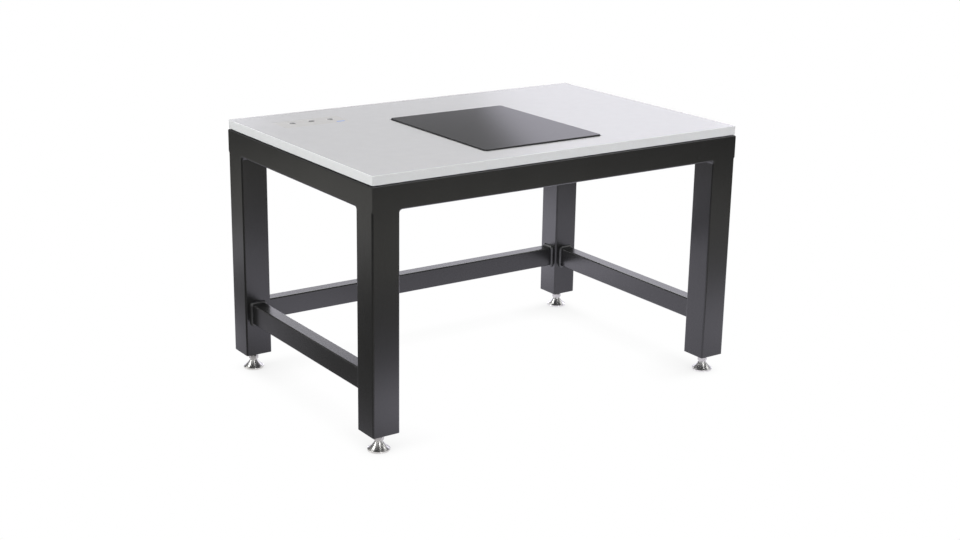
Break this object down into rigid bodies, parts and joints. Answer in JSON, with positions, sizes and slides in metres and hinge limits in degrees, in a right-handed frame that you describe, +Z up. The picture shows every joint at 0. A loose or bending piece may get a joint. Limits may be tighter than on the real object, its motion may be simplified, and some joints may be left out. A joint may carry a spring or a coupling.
{
  "type": "vibration isolation table",
  "caption": "Rectangular lab table on a black tubular steel frame with levelling feet, and a black isolated platform floating in a cut-out of its light grey worktop.",
  "frame": {"origin": "on the floor under the middle of the table", "axes": "+X along the long side, -Y towards the open knee space, +Z up"},
  "size_m": [1.2, 0.8, 0.744],
  "materials": {
    "frame_black": "satin black powder coat",
    "worktop_grey": "light grey fine-grained laminate",
    "platform_black": "satin black coating",
    "pad_rubber": "matt black",
    "foot_steel": "polished stainless steel",
    "plated_steel": "zinc plated",
    "spring_steel": "oiled spring steel",
    "damper_rubber": "matt black elastomer",
    "panel_grey": "warm grey overlay film",
    "key_dark": "dark grey, fine texture",
    "lens_blue": "translucent blue",
    "board_green": "green solder mask",
    "housing_black": "black, fine texture"
  },
  "bodies": {
    "frame": {"worktop": "worktop_grey", "bedding_strip_front": "pad_rubber", "bedding_strip_rear": "pad_rubber", "bedding_strip_left": "pad_rubber", "bedding_strip_right": "pad_rubber", "worktop_bracket_front": "plated_steel", "worktop_bracket_rear": "plated_steel", "worktop_bracket_left": "plated_steel", "worktop_bracket_right": "plated_steel", "rail_front": "frame_black", "rail_rear": "frame_black", "rail_left": "frame_black", "rail_right": "frame_black", "leg_front_left": "frame_black", "leg_front_right": "frame_black", "leg_rear_left": "frame_black", "leg_rear_right": "frame_black", "stretcher_rear": "frame_black", "stretcher_left": "frame_black", "stretcher_right": "frame_black", "isolator_beam_left": "frame_black", "isolator_beam_right": "frame_black", "isolator_tray": "frame_black", "foot_plate_front_left": "plated_steel", "foot_plate_front_right": "plated_steel", "foot_plate_rear_left": "plated_steel", "foot_plate_rear_right": "plated_steel", "isolator_cup_front_left": "plated_steel", "isolator_cup_front_right": "plated_steel", "isolator_cup_rear_left": "plated_steel", "isolator_cup_rear_right": "plated_steel", "isolator_spring_front_left": "spring_steel", "isolator_spring_front_right": "spring_steel", "isolator_spring_rear_left": "spring_steel", "isolator_spring_rear_right": "spring_steel", "isolator_damper_front_left": "damper_rubber", "isolator_damper_front_right": "damper_rubber", "isolator_damper_rear_left": "damper_rubber", "isolator_damper_rear_right": "damper_rubber", "control_panel": "panel_grey", "indicator_lens": "lens_blue", "control_board": "board_green", "control_housing": "housing_black", "power_inlet": "housing_black"},
    "platform": {"platform": "platform_black", "isolator_seat_front_left": "plated_steel", "isolator_seat_front_right": "plated_steel", "isolator_seat_rear_left": "plated_steel", "isolator_seat_rear_right": "plated_steel"},
    "foot_front_left": {"foot_base_front_left": "foot_steel"},
    "spindle_front_left": {"foot_spindle_front_left": "foot_steel"},
    "foot_front_right": {"foot_base_front_right": "foot_steel"},
    "spindle_front_right": {"foot_spindle_front_right": "foot_steel"},
    "foot_rear_left": {"foot_base_rear_left": "foot_steel"},
    "spindle_rear_left": {"foot_spindle_rear_left": "foot_steel"},
    "foot_rear_right": {"foot_base_rear_right": "foot_steel"},
    "spindle_rear_right": {"foot_spindle_rear_right": "foot_steel"},
    "key_1": {"control_key_1": "key_dark"},
    "key_2": {"control_key_2": "key_dark"},
    "key_3": {"control_key_3": "key_dark"}
  },
  "joints": [
    {"name": "platform_float", "type": "slide", "parent": "frame", "child": "platform", "axis": [0, 0, 1], "range_m": [-0.002, 0.002], "stiffness_N_per_m": 70000, "springref_m": 0.00248, "deforming": ["isolator_spring_front_left", "isolator_spring_front_right", "isolator_spring_rear_left", "isolator_spring_rear_right", "isolator_damper_front_left", "isolator_damper_front_right", "isolator_damper_rear_left", "isolator_damper_rear_right"]},
    {"name": "foot_height_front_left", "type": "slide", "parent": "frame", "child": "foot_front_left", "axis": [0, 0, -1], "range_m": [-0.011, 0.025]},
    {"name": "foot_turn_front_left", "type": "hinge", "parent": "foot_front_left", "child": "spindle_front_left", "pos_m": [-0.56, -0.36, 0.033], "axis": [0, 0, -1], "range_deg": [-1981, 4501]},
    {"name": "foot_height_front_right", "type": "slide", "parent": "frame", "child": "foot_front_right", "axis": [0, 0, -1], "range_m": [-0.011, 0.025]},
    {"name": "foot_turn_front_right", "type": "hinge", "parent": "foot_front_right", "child": "spindle_front_right", "pos_m": [0.56, -0.36, 0.033], "axis": [0, 0, -1], "range_deg": [-1981, 4501]},
    {"name": "foot_height_rear_left", "type": "slide", "parent": "frame", "child": "foot_rear_left", "axis": [0, 0, -1], "range_m": [-0.011, 0.025]},
    {"name": "foot_turn_rear_left", "type": "hinge", "parent": "foot_rear_left", "child": "spindle_rear_left", "pos_m": [-0.56, 0.36, 0.033], "axis": [0, 0, -1], "range_deg": [-1981, 4501]},
    {"name": "foot_height_rear_right", "type": "slide", "parent": "frame", "child": "foot_rear_right", "axis": [0, 0, -1], "range_m": [-0.011, 0.025]},
    {"name": "foot_turn_rear_right", "type": "hinge", "parent": "foot_rear_right", "child": "spindle_rear_right", "pos_m": [0.56, 0.36, 0.033], "axis": [0, 0, -1], "range_deg": [-1981, 4501]},
    {"name": "key_1_press", "type": "slide", "parent": "frame", "child": "key_1", "axis": [0, 0, -1], "range_m": [0, 0.0008], "stiffness_N_per_m": 600, "springref_m": -0.001},
    {"name": "key_2_press", "type": "slide", "parent": "frame", "child": "key_2", "axis": [0, 0, -1], "range_m": [0, 0.0008], "stiffness_N_per_m": 600, "springref_m": -0.001},
    {"name": "key_3_press", "type": "slide", "parent": "frame", "child": "key_3", "axis": [0, 0, -1], "range_m": [0, 0.0008], "stiffness_N_per_m": 600, "springref_m": -0.001}
  ],
  "couplings": [
    {"joint": "foot_turn_front_left", "follows": "foot_height_front_left", "rad_per_m": 3141.6},
    {"joint": "foot_turn_front_right", "follows": "foot_height_front_right", "rad_per_m": 3141.6},
    {"joint": "foot_turn_rear_left", "follows": "foot_height_rear_left", "rad_per_m": 3141.6},
    {"joint": "foot_turn_rear_right", "follows": "foot_height_rear_right", "rad_per_m": 3141.6}
  ]
}
